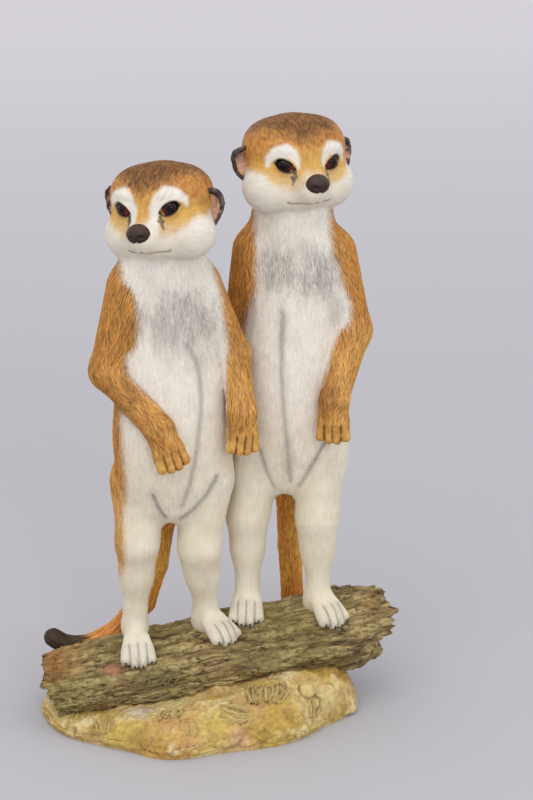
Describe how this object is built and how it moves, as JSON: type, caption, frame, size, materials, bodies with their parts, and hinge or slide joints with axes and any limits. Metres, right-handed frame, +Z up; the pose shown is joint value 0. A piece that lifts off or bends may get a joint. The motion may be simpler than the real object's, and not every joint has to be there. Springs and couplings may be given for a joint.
{
  "type": "resin meerkat pair figurine",
  "caption": "Painted cast-resin ornament of a short and a tall meerkat standing side by side on a weathered log that lies on sandy ground.",
  "frame": {"origin": "centre of the box's footprint, on the surface the ground's flat underside stands on", "axes": "+Z up; -Y is the front, which both animals face; +X runs from the short animal to the tall one"},
  "size_m": [0.115, 0.0748, 0.1917],
  "materials": {
    "short_coat": "hand-painted cast resin with carved fur, satin: ochre back, arms and tail, ivory belly and legs",
    "short_eyes": "dark brown gloss paint",
    "short_ears": "painted resin, dark grey-brown rim and dull pink inside",
    "short_nose": "dark brown satin paint",
    "tall_coat": "hand-painted cast resin with carved fur, satin: ochre back, arms and tail, ivory belly and legs",
    "tall_eyes": "dark brown gloss paint",
    "tall_ears": "painted resin, dark grey-brown rim and dull pink inside",
    "tall_nose": "dark brown satin paint",
    "log": "painted resin, cut as rough bark, matt",
    "ground": "painted resin, sculpted sandy ground, matt"
  },
  "bodies": {
    "root": {"short_trunk": "short_coat", "short_neck": "short_coat", "short_head": "short_coat", "short_nose": "short_nose", "short_eye_r": "short_eyes", "short_eye_l": "short_eyes", "short_ear_r": "short_ears", "short_ear_l": "short_ears", "short_arm_r": "short_coat", "short_arm_l": "short_coat", "short_forepaw_r": "short_coat", "short_forepaw_l": "short_coat", "short_leg_r": "short_coat", "short_leg_l": "short_coat", "short_foot_r": "short_coat", "short_foot_l": "short_coat", "short_tail": "short_coat", "tall_trunk": "tall_coat", "tall_neck": "tall_coat", "tall_head": "tall_coat", "tall_nose": "tall_nose", "tall_eye_r": "tall_eyes", "tall_eye_l": "tall_eyes", "tall_ear_r": "tall_ears", "tall_ear_l": "tall_ears", "tall_arm_r": "tall_coat", "tall_arm_l": "tall_coat", "tall_forepaw_r": "tall_coat", "tall_forepaw_l": "tall_coat", "tall_leg_r": "tall_coat", "tall_leg_l": "tall_coat", "tall_foot_r": "tall_coat", "tall_foot_l": "tall_coat", "tall_tail": "tall_coat", "log": "log", "ground": "ground"}
  },
  "joints": []
}
